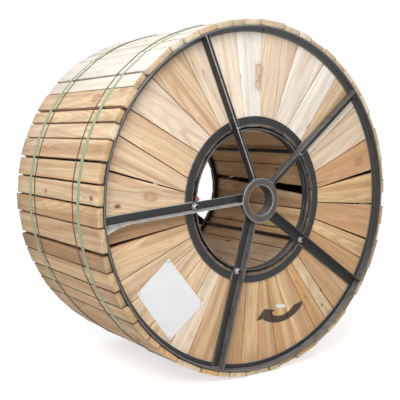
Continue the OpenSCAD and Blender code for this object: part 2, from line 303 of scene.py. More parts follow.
class Shader:
    """One material, its nodes, and the colour that is laid up on it."""

    def __init__(self, name, colour=None):
        self.material = bpy.data.materials.new(name)
        self.material.use_nodes = True
        self.tree = self.material.node_tree
        self.tree.nodes.clear()
        self.colour = colour
        self.skin = self.node("ShaderNodeBsdfPrincipled")
        out = self.node("ShaderNodeOutputMaterial")
        self.tree.links.new(self.skin.outputs[0], out.inputs["Surface"])

    def node(self, kind, **settings):
        made = self.tree.nodes.new(kind)
        for key, value in settings.items():
            setattr(made, key, value)
        return made

    def put(self, socket, value):
        if isinstance(value, Flow):
            self.tree.links.new(value.socket, socket)
        elif socket.type == "RGBA" and len(value) == 3:
            socket.default_value = (*value, 1.0)
        else:
            socket.default_value = value

    def fed(self, made, inputs, out=0):
        """Sets a node's inputs, by name or number, and goes on from one of its outputs."""
        for key, value in inputs.items():
            self.put(made.inputs[key], value)
        return Flow(self, made.outputs[out])

    def attribute(self, name, out="Vector"):
        return self.fed(self.node("ShaderNodeAttribute", attribute_name=name), {}, out)

    def place(self):
        return self.fed(self.node("ShaderNodeTexCoord"), {}, "Object")

    def math(self, operation, a, b=0.0, clamp=False):
        return self.fed(self.node("ShaderNodeMath", operation=operation, use_clamp=clamp), {0: a, 1: b})

    def vector(self, operation, a, b=(0.0, 0.0, 0.0)):
        number = operation in ("LENGTH", "DISTANCE", "DOT_PRODUCT")
        made = self.node("ShaderNodeVectorMath", operation=operation)
        return self.fed(made, {0: a, 1: b}, "Value" if number else "Vector")

    def split(self, value):
        made = self.node("ShaderNodeSeparateXYZ")
        self.put(made.inputs[0], value)
        return [Flow(self, out) for out in made.outputs]

    def join(self, x=0.0, y=0.0, z=0.0):
        return self.fed(self.node("ShaderNodeCombineXYZ"), {0: x, 1: y, 2: z})

    def noise(self, where, scale=1.0, detail=2.0, rough=0.5):
        return self.fed(self.node("ShaderNodeTexNoise"), {"Vector": where, "Scale": scale, "Detail": detail,
                                                          "Roughness": rough}, "Fac")

    def fade(self, value, low, high, a=0.0, b=1.0):
        made = self.node("ShaderNodeMapRange", interpolation_type="SMOOTHSTEP")
        return self.fed(made, {"Value": value, "From Min": low, "From Max": high, "To Min": a, "To Max": b})

    def mix(self, share, a, b, blend="MIX"):
        made = self.node("ShaderNodeMix", data_type="RGBA", blend_type=blend)
        return self.fed(made, {"Factor": share, 6: a, 7: b}, 2)

    def lay(self, share, colour):
        """Lays a colour over what is there."""
        self.colour = self.mix(share, self.colour, colour)

    def bump(self, height, strength, distance):
        made = self.node("ShaderNodeBump")
        self.put(self.skin.inputs["Normal"],
                 self.fed(made, {"Height": height, "Strength": strength, "Distance": distance}))

    def finish(self, roughness, metallic=0.0, specular=None):
        for name, value in (("Base Color", self.colour), ("Roughness", roughness), ("Metallic", metallic),
                            ("Specular IOR Level", specular)):
            if value is not None:
                self.put(self.skin.inputs[name], value)
        return self.material


def knot_field(sh, place, name):
    """Distance from one knot of the plank in knot radii, how far it bends the grain, and whether it has a core."""
    along, across, _ = sh.split(place)
    k_along, k_across, k_r = sh.split(sh.attribute(name))
    side = across - k_across
    reach = sh.vector("LENGTH", sh.join((along - k_along) * 0.62, side))
    in_radii = reach / sh.math("MAXIMUM", abs(k_r), 0.0001)
    return in_radii, side * sh.fade(in_radii, 0.6, 4.0, -0.75, 0.0), sh.math("GREATER_THAN", k_r, 0.0)


def arrow_mask(sh):
    """A curved arrow in flat paint on the front flange, from the place on the object."""
    right, _, up = sh.split(sh.place())
    flat = sh.join(right, 0.0, up)

    def circle(x, z, r):
        return sh.vector("DISTANCE", flat, (x, 0.0, z)) - r

    def right_of(x0, z0, x1, z1):
        """Metres to the right of a line."""
        run = math.hypot(x1 - x0, z1 - z0)
        nx, nz = (z1 - z0) / run, (x0 - x1) / run
        return sh.vector("DOT_PRODUCT", flat, (nx, 0.0, nz)) - (nx * x0 + nz * z0)

    def most(first, *others):
        for other in others:
            first = sh.math("MAXIMUM", first, other)
        return first

    whole = most(circle(*ARROW_OUTER), circle(*ARROW_INNER) * -1.0, right_of(*ARROW_CUT), right - ARROW_TAIL,
                 sh.math("SUBTRACT", ARROW_NECK, right))
    for corners in ARROW_HEAD:
        outside = most(*(right_of(*a, *b) for a, b in zip(corners, corners[1:] + corners[:1])))
        whole = sh.math("MINIMUM", whole, outside)
    ragged = (sh.noise(flat, 90.0, 3.0) - 0.5) * 0.003
    return sh.fade(whole + ragged, -0.0012, 0.0012, 1.0, 0.0)


def timber(name, look, end=False, arrow=None, lagging=False, flange=False, low_end_light_and_gap_shade=False):
    """Sawn softwood: leaning rings round a pith line, bands of heartwood, stains, checks and the plank's own knots."""
    sh = Shader(name)
    place = sh.attribute("plank_place")
    along, across, depth = sh.split(place)
    right, _, up = sh.split(sh.place())
    seed, half_length, half_width = sh.split(sh.attribute("plank_own"))
    value, heart, grime = sh.split(sh.attribute("plank_tone"))
    far = sh.vector("ADD", place, sh.vector("MULTIPLY", sh.join(seed, seed, seed), (3.7, 1.9, 5.3)))

    def grain(kind):
        stretch, detail, rough = GRAIN[kind]
        return sh.noise(sh.vector("MULTIPLY", far, stretch), 1.0, detail, rough)

    streak, fibre, patch, blot = grain("streak"), grain("fibre"), grain("patch"), grain("blot")
    wander = grain("wander") - 0.5
    knot_1, pull_1, core_1 = knot_field(sh, place, "plank_knot_1")
    knot_2, pull_2, core_2 = knot_field(sh, place, "plank_knot_2")
    bent = wander * 0.045 + across + (pull_1 + pull_2)
    pith_across, pith_depth, lean = sh.split(sh.attribute("plank_pith"))
    ring_r = sh.vector("LENGTH", sh.join(bent - pith_across, depth - (lean * along + pith_depth)))
    ring = sh.math("FRACT", ring_r / RING_PITCH)
    late = sh.fade(ring, 0.30, 0.92) * sh.fade(ring, 0.93, 1.0, 1.0, 0.0)
    check = sh.fade(abs(grain("check") - 0.5), 0.0015, 0.007, 1.0, 0.0) * sh.fade(patch, 0.54, 0.64)
    growth = sh.noise(sh.join(ring_r * 85.0 + seed * 7.0, along * 0.6), 1.0, 2.0)

    heart_low = heart * -0.42 + 0.62
    sh.colour = sh.mix(sh.fade(grain("band"), heart_low, heart_low + 0.12, 0.0, 0.92), look.sapwood, look.heartwood)
    sh.lay(sh.attribute("plank_gold", "Fac"), sh.mix(1.0, sh.colour, GOLD, "MULTIPLY"))
    sh.lay(sh.fade(growth, 0.44, 0.64, 0.0, 0.68), BROAD_RING)
    sh.lay(late * sh.fade(streak, 0.3, 0.75, 0.10, 0.56), look.latewood)
    bleach = sh.math("MULTIPLY", heart, -1.0, clamp=True)
    sh.lay(bleach * sh.fade(growth, 0.45, 0.70, 1.0, 0.72), look.bleached)
    tone = value * sh.fade(streak, 0.28, 0.72, 0.83, 1.12) * sh.fade(fibre, 0.25, 0.75, 0.93, 1.05)
    from_side = half_width - abs(across)
    if end:
        tone = tone * sh.fade(sh.noise(far, 230.0, 4.0, 0.75), 0.32, 0.66, 0.66, 1.02)
        own = sh.noise(sh.join(seed * 23.0), 1.0, 1.0)
        sh.lay(0.68, sh.mix(sh.fade(own, 0.38, 0.60), PALE_END, DARK_END))
        sh.lay(sh.fade(from_side, 0.0005, 0.0045, 0.55, 0.0), END_EDGE)
    # Painted light: the end grain low down is laid up to a quarter brighter
    if low_end_light_and_gap_shade:
        tone = tone * sh.fade(up, -0.55, -0.30, 1.25, 1.0)
    sh.colour = sh.mix(1.0, sh.colour, sh.join(tone, tone, tone), "MULTIPLY")
    sh.lay(sh.fade(patch, 0.42, 0.72) * (grime + 0.07), DIRT)
    sh.lay(sh.fade(blot, 0.58, 0.74) * sh.math("ADD", grime * 2.0, 0.30, clamp=True), BLOT)
    sh.lay(sh.fade(grain("speck"), 0.70, 0.78) * sh.fade(patch, 0.42, 0.60, 0.05, 0.60), look.knot)
    if lagging:
        from_end = half_length - abs(along)
        stain = sh.fade(wander * 0.10 + from_end, 0.0, 0.11, 1.0, 0.0)
        sh.lay(sh.math("MULTIPLY", stain, grime * 1.7 + 0.05, clamp=True), END_STAIN)
        # Dirt and painted shade along the sides of each batten, at the joints
        sh.lay(sh.fade(from_side, 0.0, 0.005, 1.0, 0.0) * sh.fade(blot, 0.40, 0.65, 0.05, 0.45), SIDE_DIRT_AND_SHADE)
        # Painted shade on the inner face of each batten, inside the drum
        sh.lay(sh.fade(depth, -0.0095, -0.0085, 0.75, 0.0), UNDERSIDE_SHADE)
    # Painted shade of the gap between rim and lagging, along the inner edge of the end grain low down
    if low_end_light_and_gap_shade:
        sh.lay(sh.fade(depth, -0.0068, -0.0050, 0.9, 0.0) * sh.fade(up, -0.50, -0.25, 1.0, 0.0), GAP_SHADE)
    for field, cored in ((knot_1, core_1), (knot_2, core_2)):
        ragged = (blot - 0.5) * 2.6 + ((streak - 0.5) * 1.1 + field)
        sh.lay(sh.fade(ragged, 0.5, 2.6, 0.60, 0.0) * sh.fade(fibre, 0.3, 0.7, 0.6, 1.0), KNOT_HALO)
        sh.lay(sh.fade(abs(ragged - 1.0), 0.05, 0.45, 0.40, 0.0), KNOT_EDGE)
        sh.lay(sh.fade(ragged, 0.45, 1.05, 0.85, 0.0) * cored, look.knot)
    sh.lay(check * (grime + 0.45), look.knot)
    # Darker round the hole in the boards, most on the right-hand side
    if flange:
        from_axis = wander * 0.008 + sh.vector("LENGTH", sh.join(right, 0.0, up))
        hole_darkening = sh.fade(up * 0.2 + right, 0.105, 0.135, 0.78, 0.92)
        sh.lay(hole_darkening * sh.fade(from_axis, 0.262, 0.268, 1.0, 0.0), HOLE_EDGE_DARK)
    if arrow is not None:
        sh.lay(arrow_mask(sh) * sh.fade(streak, 0.2, 0.8, 0.90, 0.98), arrow)
    relief = late * 0.35 + (fibre * 0.7 + grain("sawn") * 0.3) - check * 2.0
    sh.bump(relief, 0.55, 0.0006)
    return sh.finish(sh.fade(streak, 0.2, 0.8, 0.84, 0.68), specular=0.25)


def worn_steel(name, look, base, wear=1.0, rough=(0.42, 0.62), dust_and_top_light_share=0.25, rusty=0.35, seam=None, scored=False,
               top=0.0, foot=0.0):
    """Thin black paint on rolled steel: rubbed bright edges, specks, and dust with painted top light on upward faces.
    """
    sh = Shader(name, base)
    place = sh.place()
    right, level, up = sh.split(place)
    _, outward, upward = sh.split(sh.fed(sh.node("ShaderNodeNewGeometry"), {}, "Normal"))
    grit = sh.noise(place, 160.0, 3.0, 0.7)
    scuff = sh.noise(place, 38.0, 4.0, 0.65)
    sh.lay(sh.fade(scuff, 0.50, 0.85, 0.0, 0.35), SCUFF)
    # Dust on upward faces, also painted top light: faces turned up are laid lighter
    sh.lay(sh.fade(upward, 0.20, 0.90) * sh.fade(scuff, 0.25, 0.65, 0.45, 1.0) * dust_and_top_light_share, look.dust_and_top_light)
    rust_low = 0.78 - 0.46 * rusty
    sh.lay(sh.fade(sh.noise(place, 23.0, 5.0, 0.7), rust_low, rust_low + 0.12) * rusty, RUST)
    # Painted sheen: a reflection of the sky laid on the upper part as colour
    if top:
        sh.lay(sh.fade(up, 0.25, 0.60, 0.0, top), SKY_SHEEN)
    # Painted shade on the front and back faces low down, where the rim meets the lagging
    if foot:
        sh.lay(sh.fade(abs(outward), 0.6, 0.9) * sh.fade(up, -0.55, -0.10, foot, 0.0), LOW_SHADE)
    if scored:
        round_off = sh.vector("LENGTH", sh.vector("MULTIPLY", place, (1.0, 0.0, 1.0)))
        score = sh.noise(sh.join(right * 9.0, (level + round_off) * 420.0, up * 9.0), 1.0, 3.0, 0.6)
        sh.lay(sh.fade(score, 0.54, 0.68, 0.0, 0.65), look.worn)
    sh.lay(sh.fade(grit, 0.68, 0.76) * 0.40, look.worn)
    sh.lay(sh.attribute("edge_wear", "Fac") * sh.fade(scuff, 0.30, 0.56, 0.50, 1.0) * wear, look.worn)
    if seam is not None:
        out, side = axes_at(seam)
        beside, ahead = sh.vector("DOT_PRODUCT", place, side), sh.vector("DOT_PRODUCT", place, out)
        sh.lay(sh.fade(abs(beside), 0.0008, 0.0022, 0.9, 0.0) * sh.fade(ahead, 0.0, 0.1), SEAM_LINE)
    sh.bump(scuff * 1.5 + grit, 0.25, 0.0006)
    return sh.finish(sh.fade(scuff, 0.3, 0.7, *rough), 0.35, 0.4)


def axes_at(turn):
    """The outward and the anticlockwise direction at an angle round the axis, in degrees."""
    angle = math.radians(turn)
    return Vector((math.cos(angle), 0, math.sin(angle))), Vector((-math.sin(angle), 0, math.cos(angle)))


def polar(points):
    """Angle of the middle of some points round the axis, in degrees."""
    middle = (points.min(0) + points.max(0)) / 2
    return math.degrees(math.atan2(middle[2], middle[0])) % 360


def ripple(x, y, z):
    """Smooth noise from 0 to 1."""
    return 0.5 + 0.5 * noise.noise((x, y, z))


def full_turn(sides):
    """Equal angles once round, in radians."""
    return [2 * math.pi * i / sides for i in range(sides)]


def between(here, there, count):
    """Faces between two closed loops of points, from the numbers of their first points."""
    return [(here + i, here + (i + 1) % count, there + (i + 1) % count, there + i) for i in range(count)]


def placed(name, data):
    """A new object in the scene."""
    made = bpy.data.objects.new(name, data)
    bpy.context.scene.collection.objects.link(made)
    return made


def shell(name, vertices, faces=(), edges=()):
    mesh = bpy.data.meshes.new(name)
    mesh.from_pydata([tuple(v) for v in vertices], list(edges), [tuple(f) for f in faces])
    return mesh


def keep(mesh, name, values, domain="POINT"):
    """Stores numbers or vectors on a mesh for its material."""
    values = np.asarray(values, np.float32)
    kind, key = ("FLOAT", "value") if values.ndim == 1 else ("FLOAT_VECTOR", "vector")
    mesh.attributes.new(name, kind, domain).data.foreach_set(key, values.ravel())


def face_out(mesh):
    """Turns the faces of a closed mesh outwards."""
    bm = bmesh.new()
    bm.from_mesh(mesh)
    bmesh.ops.recalc_face_normals(bm, faces=bm.faces[:])
    bm.to_mesh(mesh)
    bm.free()
    return mesh


def piece_of(name, mesh, materials, replaced=(), smooth=None, picks=None):
    """A piece at the origin that rides on the drum, smooth below an angle in degrees."""
    for material in materials:
        mesh.materials.append(material)
    if picks is not None:
        mesh.polygons.foreach_set("material_index", np.asarray(picks, np.int32))
    if smooth is not None:
        mesh.polygons.foreach_set("use_smooth", np.ones(len(mesh.polygons), bool))
        mesh.set_sharp_from_angle(angle=math.radians(smooth))
    mesh.update()
    piece = placed(name, mesh)
    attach(piece, "root")
    if replaced:
        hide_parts(*replaced)


def solids_of(node):
    """The separate solids of a CAD node: corners and triangles."""
    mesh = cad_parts[node].data
    places = np.empty(len(mesh.vertices) * 3)
    mesh.vertices.foreach_get("co", places)
    mesh.calc_loop_triangles()
    corners = np.empty(len(mesh.loop_triangles) * 3, np.int32)
    mesh.loop_triangles.foreach_get("vertices", corners)
    places, merged = np.unique(np.round(places.reshape(-1, 3), 6), axis=0, return_inverse=True)
    triangles = merged.reshape(-1)[corners].reshape(-1, 3)
    a, b, c = triangles.T
    triangles = triangles[(a != b) & (b != c) & (a != c)]
    group = np.arange(len(places))
    while True:
        lower = group.copy()
        np.minimum.at(lower, triangles.ravel(), np.repeat(group[triangles].min(1), 3))
        if (lower == group).all():
            break
        group = lower
    found = []
    for one in np.unique(group[triangles[:, 0]]):
        used, own = np.unique(triangles[group[triangles[:, 0]] == one], return_inverse=True)
        found.append((places[used], own.reshape(-1, 3)))
    return found


class Plank:
    """One sawn plank cut from a CAD solid: its mesh, its own axes and its looks."""

    def __init__(self, points, triangles, axes, seed):
        self.axes = [Vector(a).normalized() for a in axes]
        self.middle = Vector((points.min(0) + points.max(0)) / 2)
        self.rng = random.Random(seed)
        self.seed = self.rng.uniform(0.0, 9.0)
        self.points, self.triangles = points, triangles
        self.half = np.ptp([self.local(p) for p in points], axis=0) / 2
        self.tone, self.gold, self.pith, self.knots = None, None, None, []
        self.ragged, self.front = None, None

    def local(self, point):
        offset = Vector(point) - self.middle
        return Vector([offset.dot(axis) for axis in self.axes])

    def colour(self, code):
        value, heart, grime, gold = TONES[code]
        vary = self.rng.uniform
        self.tone = (value * vary(0.96, 1.04), heart + vary(-0.10, 0.10), max(0.0, grime + vary(-0.04, 0.06)))
        self.gold = max(0.0, gold + vary(-0.15, 0.15))
        self.pith = (vary(-0.05, 0.05), self.rng.choice((-1, 1)) * vary(0.015, 0.08), vary(-0.09, 0.09))

    def stray_knot(self, chance):
        vary = self.rng.uniform
        if self.rng.random() < chance:
            self.knots.append((vary(-0.84, 0.84) * self.half[0], vary(-0.7, 0.7) * self.half[1], vary(0.004, 0.009)))

    def mesh(self, look):
        """Rounds the edges, cuts the plank into short lengths and lets its edges wander."""
        bm = bmesh.new()
        corners = [bm.verts.new(p) for p in self.points]
        for triangle in self.triangles:
            bm.faces.new([corners[i] for i in triangle])
        bmesh.ops.dissolve_limit(bm, angle_limit=0.004, verts=bm.verts[:], edges=bm.edges[:])
        bmesh.ops.recalc_face_normals(bm, faces=bm.faces[:])
        sharp = [e for e in bm.edges if len(e.link_faces) == 2 and e.calc_face_angle() > SHARP_EDGE]
        bmesh.ops.bevel(bm, geom=sharp, offset=look.edge_round * self.rng.uniform(*ROUND_SHARE),
                        offset_type="OFFSET", segments=2, profile=0.5, affect="EDGES", clamp_overlap=True)
        local = np.array([self.local(v.co) for v in bm.verts])
        low, high = local.min(0), local.max(0)
        for axis, step in enumerate(CUT_STEPS):
            count = max(1, round((high[axis] - low[axis]) / step))
            for i in range(1, count):
                cut = low[axis] + (high[axis] - low[axis]) * i / count
                bmesh.ops.bisect_plane(bm, geom=bm.verts[:] + bm.edges[:] + bm.faces[:], dist=1e-6,
                                       plane_co=self.middle + self.axes[axis] * cut, plane_no=self.axes[axis])
        along, across, thick = self.axes
        ragged = look.ragged if self.ragged is None else self.ragged
        half, centre = (high - low) / 2, (high + low) / 2
        for vertex in bm.verts:
            a, w, t = self.local(vertex.co)
            side, end = (w - centre[1]) / half[1], (a - centre[0]) / half[0]
            shift = 0.65 * ripple(a * 7.0 + self.seed * 11, side * 0.6, self.seed)
            shift += 0.35 * ripple(a * 34.0 + self.seed * 5, side * 0.6 + 4.0, self.seed)
            vertex.co -= across * (ragged * shift * max(-1.0, min(1.0, side)))
            hollow = FACE_WAVE * ripple(a * 4.0, w * 9.0, self.seed * 7 + 2.0)
            vertex.co -= thick * (hollow * (1 if t > centre[2] else -1))
            if abs(end) > 0.985:
                rough = END_WAVE * ripple(w * 60.0, t * 60.0, self.seed * 3)
                vertex.co -= along * (rough * (1 if end > 0 else -1))
            if self.front is not None:
                vertex.co.y = max(vertex.co.y, self.front)
        return bm


def timber_piece(name, planks, look, materials, node):
    """Joins planks into one piece, with their places and looks kept as attributes."""
    vertices, faces, picks, golds = [], [], [], []
    kept = {"place": [], "own": [], "pith": [], "tone": [], "knot_1": [], "knot_2": []}
    for plank in planks:
        bm = plank.mesh(look)
        base = len(vertices)
        bm.verts.index_update()
        own = (plank.seed, plank.half[0], plank.half[1])
        looks = (own, plank.pith, plank.tone, *(plank.knots + [NO_KNOT, NO_KNOT])[:2])
        for vertex in bm.verts:
            vertices.append(tuple(vertex.co))
            golds.append(plank.gold)
            for values, value in zip(kept.values(), (plank.local(vertex.co), *looks)):
                values.append(tuple(value))
        for face in bm.faces:
            faces.append([v.index + base for v in face.verts])
            picks.append(1 if abs(face.normal.dot(plank.axes[0])) > 0.8 else 0)
        bm.free()
    mesh = shell(name, vertices, faces)
    for key, values in kept.items():
        keep(mesh, "plank_" + key, values)
    keep(mesh, "plank_gold", golds)
    piece_of(name, mesh, materials, [node], 40, picks)


def edge_piece(name, vertices, faces, worn, material, node):
    """A steel piece whose rubbed faces are marked for the worn paint."""
    mesh = shell(name, vertices, faces)
    keep(mesh, "edge_wear", worn, "FACE")
    piece_of(name, face_out(mesh), [material], [node], 35)


def rounded(profile, radius, steps=3):
    """A closed profile with its corners rounded: points, and how worn the side is that starts at each."""
    points, worn = [], []
    for i, corner in enumerate(profile):
        corner = Vector(corner)
        before, after = (Vector(profile[k % len(profile)]) - corner for k in (i - 1, i + 1))
        reach = min(radius, before.length * 0.45, after.length * 0.45)
        start, stop = corner + before.normalized() * reach, corner + after.normalized() * reach
        for s in range(steps + 1):
            t = s / steps
            points.append(start * (1 - t) ** 2 + corner * (2 * t * (1 - t)) + stop * t ** 2)
            worn.append(1.0 if s < steps else 0.0)
        if after.length < 0.006:
            worn[-1] = 0.7
    return points, worn


def ring_piece(name, profile, look, material, node, soften=None):
    """Turns a profile of radius and place along the axis into a rolled ring."""
    points, flags = rounded(profile, soften or look.edge_round)
    sides, count = look.round_sides, len(points)
    vertices = [(p.x * math.cos(a), p.y, p.x * math.sin(a)) for a in full_turn(sides) for p in points]
    faces = [face for s in range(sides) for face in between(s * count, (s + 1) % sides * count, count)]
    edge_piece(name, vertices, faces, flags * sides, material, node)


def levels(node, sign=1.0):
    """The radii at which a turned CAD node has corners, and the places along the axis from the outside inward."""
    corners = solids_of(node)[0][0]
    radii, places = (sorted(set(np.round(values, 4).tolist()))
                     for values in (np.hypot(corners[:, 0], corners[:, 2]), corners[:, 1]))
    return radii, sorted(places, key=lambda y: sign * y, reverse=True)


def spoke_reach(heel, rim_r):
    """How far out a spoke runs before its corner meets the rim."""
    return math.sqrt((rim_r - RIM_CLEAR) ** 2 - max(heel, SPOKE_LEG - heel) ** 2)


class DRUM_OT_flange_boards(bpy.types.Operator):
    """Saw the boards of both flanges"""
    bl_idname = "drum.flange_boards"
    bl_label = "Flange boards"

    def execute(self, context):
        look = context.scene.drum_timber
        end = timber("board_end_grain", look, end=True, flange=True)
        plain = timber("board_timber", look, flange=True)
        painted = timber("board_timber_with_arrow", look, arrow=context.scene.drum_marks.arrow, flange=True)
        for flange, sign in FLANGES:
            for k, codes in enumerate(BOARD_TONES):
                node = f"{flange}_boards_{k + 1}"
                start = SPOKES[k][0] - 5
                solids = sorted(solids_of(node), key=lambda s: (polar(s[0]) - start) % 360)
                seed = BOARD_SEEDS[flange] + SEEDS_PER_FAN * k
                planks = [self.board(flange, sign, seed + i, codes[i % len(codes)], *solid)
                          for i, solid in enumerate(solids)]
                face = painted if node == "front_boards_4" else plain
                timber_piece(f"{flange}_flange_boards_{k + 1}", planks, look, [face, end], node)
        return {"FINISHED"}

    @staticmethod
    def board(flange, sign, seed, code, points, triangles):
        flat = points[:, [0, 2]]
        middle = flat.mean(0)
        run = np.linalg.eigh((flat - middle).T @ (flat - middle))[1][:, 1]
        if run @ middle < 0:
            run = -run
        plank = Plank(points, triangles, ((run[0], 0, run[1]), (-run[1], 0, run[0]), (0, sign, 0)), seed)
        front = flange == "front"
        plank.colour(code if front else plank.rng.choice(BACK_TONES))
        extent = np.array([plank.local(p) for p in points])[:, :2]
        for x, z, r in BOARD_KNOTS if front else ():
            spot = plank.local((x, plank.middle.y, z))[:2]
            if all(extent.min(0) < spot) and all(spot < extent.max(0)):
                plank.knots.append((*spot, r))
        plank.stray_knot(0.0 if front else BACK_KNOTS)
        return plank


def codes_at(table, turn):
    return next(codes for limit, codes in table if turn < limit)


class DRUM_OT_barrel(bpy.types.Operator):
    """Saw the staves of the barrel"""
    bl_idname = "drum.barrel"
    bl_label = "Barrel staves"

    def execute(self, context):
        look = context.scene.drum_timber
        materials = [timber("stave_timber", look), timber("stave_end_grain", look, end=True)]
        planks = []
        for i, (points, triangles) in enumerate(sorted(solids_of("staves"), key=lambda s: polar(s[0]))):
            turn = polar(points)
            out, side = axes_at(turn)
            plank = Plank(points, triangles, (AXIS, side, out), seed=STAVE_SEED + i)
            plank.colour(plank.rng.choice(codes_at(STAVE_TONES, turn)))
            plank.stray_knot(STAVE_KNOTS)
            planks.append(plank)
        timber_piece("barrel_staves", planks, look, materials, "staves")
        return {"FINISHED"}


class DRUM_OT_lagging(bpy.types.Operator):
    """Saw the lagging battens"""
    bl_idname = "drum.lagging"
    bl_label = "Lagging battens"

    def execute(self, context):
        look = context.scene.drum_timber
        materials = [timber("batten_timber", look, lagging=True),
                     timber("batten_end_grain", look, end=True, low_end_light_and_gap_shade=True)]
        solids = [(polar(solid[0]), node, solid) for node in LAGGING for solid in solids_of(node)]
        solids.sort(key=lambda found: (found[0] - SEEN_FROM) % 360)
        planks = {node: [] for node in LAGGING}
        for i, (turn, node, (points, triangles)) in enumerate(solids):
            out, side = axes_at(turn)
            plank = Plank(points, triangles, (AXIS, side, out), seed=BATTEN_SEED + i)
            seen = i < len(BATTEN_TONES)
            plank.colour(BATTEN_TONES[i] if seen else plank.rng.choice(codes_at(HIDDEN_TONES, turn)))
            plank.ragged = look.batten_ragged if seen else HIDDEN_SWELL
            if not seen:
                plank.front = CAD_BOX[0][1] + HIDDEN_SETBACK + plank.rng.uniform(0.0, 0.001)
            for knot_turn, y, r in BATTEN_KNOTS:
                reach = math.radians(knot_turn - turn) * LAGGING_R
                if abs(reach) < plank.half[1]:
                    plank.knots.append((y - plank.middle.y, reach, r))
            plank.stray_knot(0.0 if seen else HIDDEN_KNOTS)
            planks[node].append(plank)
        for node in LAGGING:
            timber_piece(f"lagging_{node.split('_')[1]}", planks[node], look, materials, node)
        return {"FINISHED"}


class DRUM_OT_steel_frame(bpy.types.Operator):
    """Roll the rims and rings, cut the spokes and turn the hubs"""
    bl_idname = "drum.steel_frame"
    bl_label = "Steel frame"

    def execute(self, context):
        look = context.scene.drum_steel
        painted = worn_steel("black_painted_steel", look, look.paint, wear=0.30, dust_and_top_light_share=0.45)
        rubbed = worn_steel("rubbed_painted_steel", look, look.paint, dust_and_top_light_share=0.75)
        # A darker copy of the paint, with little wear or dust, for one spoke
        darker_paint = worn_steel("darker_painted_steel", look, [0.65 * c for c in look.paint], wear=0.10, dust_and_top_light_share=0.08)
        # The rims carry a painted sheen on top and painted shade low down
        rim = worn_steel("black_painted_rims", look, look.rim, wear=0.30, dust_and_top_light_share=0.75, seam=SEAM, top=0.5, foot=0.7)
        rolled = worn_steel("black_painted_rings", look, look.paint, wear=0.30, dust_and_top_light_share=0.45, seam=SEAM)
        lining = worn_steel("dark_sleeve_steel", look, look.paint, wear=0.12, dust_and_top_light_share=0.30, scored=True)
        bare = worn_steel("bare_hub_steel", look, look.hub, wear=0.75, rough=(0.38, 0.6), dust_and_top_light_share=0.5, rusty=0.6)
        for flange, sign in FLANGES:
            (inner, stand, outer), (tip, flat, face) = levels(f"{flange}_rim", sign)
            ring_piece(f"{flange}_rolled_rim",
                       [(inner, face), (outer, face), (outer, tip), (stand, tip), (stand, flat), (inner, flat)],
                       look, rim, f"{flange}_rim")
            for ring, node in (("flat_ring", f"{flange}_inner_ring"), ("stave_ring", f"{flange}_barrel_ring")):
                (inner, *_, outer), (near, far) = levels(node, sign)
                ring_piece(f"{flange}_{ring}", [(inner, far), (outer, far), (outer, near), (inner, near)],
                           look, rolled, node)
            (bore, eased, tube, *_, plate), (near, _, step, far) = levels(f"{flange}_hub", sign)
            ring_piece(f"{flange}_hub_plate",
                       [(bore, near), (plate, near), (plate, step), (tube, step), (tube, far), (bore, far)],
                       look, bare, f"{flange}_hub", soften=eased - bore)
            low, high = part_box(f"{flange}_spoke_1")
            seat = high.y if sign < 0 else low.y
            for k in range(len(SPOKES)):
                which = (flange, k)
                skin = rubbed if which in RUBBED_SPOKES else darker_paint if which == DARKER_SPOKE else painted
                self.spoke(flange, k, seat, sign, (tube, plate, stand), look, skin)
        (inner, wall, lip), (front, step, back) = levels("front_sleeve", -1.0)
        ring_piece("front_opening_sleeve",
                   [(inner, back), (wall, back), (wall, step), (lip, step), (lip, front), (inner, front)],
                   look, lining, "front_sleeve")
        return {"FINISHED"}

    def spoke(self, flange, k, seat, sign, radii, look, skin):
        """An angle section from the hub to the rim: its flat leg runs on under the hub's plate to the tube."""
        turn, heel = SPOKES[k]
        bent = FLARE if (flange, k) == FLARED_SPOKE else 0.0
        leg, wall = SPOKE_LEG, STEEL_WALL
        tube_r, plate_r, rim_r = radii
        section = [(heel, 0), (heel, leg), (heel - wall, leg), (heel - wall, leg * 0.6), (heel - wall, wall),
                   (heel - leg, wall), (heel - leg, 0)]
        points, flags = rounded(section, look.edge_round * 1.3)
        flags = [0.75 if abs(p.x - heel + wall) < 1e-6 and wall + 0.002 < p.y < leg - 0.001 else f
                 for p, f in zip(points, flags)]
        foot = next(i for i, p in enumerate(points) if p.y > wall)
        points.insert(foot, Vector((heel, wall)))
        flags.insert(foot, 0.0)
        count = len(points)
        inside = next(i for i in range(foot + 1, count) if points[i].y <= wall + 1e-6)
        flat_leg = list(range(inside, count)) + list(range(foot + 1))
        reach = spoke_reach(heel, rim_r)
        out, side = axes_at(turn)

        def spot(p, a):
            swing = max(0.0, 1.0 - (reach - a) / FLARE_RUN)
            across = p.x + bent * swing ** 2 * p.y / leg + 0.0004 * noise.noise((a * 9.0, p.x * 40.0, turn))
            return out * a + side * across + Vector((0, seat + sign * p.y, 0))

        vertices = [spot(points[i], math.sqrt(tube_r ** 2 - points[i].x ** 2)) for i in flat_leg]
        faces, worn = [range(len(flat_leg))], [0.0]
        first = len(vertices)
        for s in range(SPOKE_STEPS + 1):
            for p in points:
                start = math.sqrt(plate_r ** 2 - p.x ** 2)
                vertices.append(spot(p, start + (reach - start) * s / SPOKE_STEPS))
        for n, i in enumerate(flat_leg):
            m = (n + 1) % len(flat_leg)
            faces.append((n, m, first + flat_leg[m], first + i))
            worn.append(flags[i] if m else 0.0)
        faces.append(range(first + foot, first + inside + 1))
        worn.append(1.0)
        for s in range(SPOKE_STEPS):
            here, there = first + s * count, first + (s + 1) * count
            swing = max(0.0, 1.0 - reach * (1.0 - s / SPOKE_STEPS) / FLARE_RUN) if bent else 0.0
            knocked = 0.6 * min(1.0, 2.5 * swing)
            faces += between(here, there, count)
            worn += [max(f, knocked) if p.y > 0.65 * leg else f for p, f in zip(points, flags)]
        last = first + SPOKE_STEPS * count
        faces.append(range(last, last + count))
        worn.append(1.0)
        edge_piece(f"{flange}_angle_spoke_{k + 1}", vertices, faces, worn, skin,
                   f"{flange}_spoke_{k + 1}")


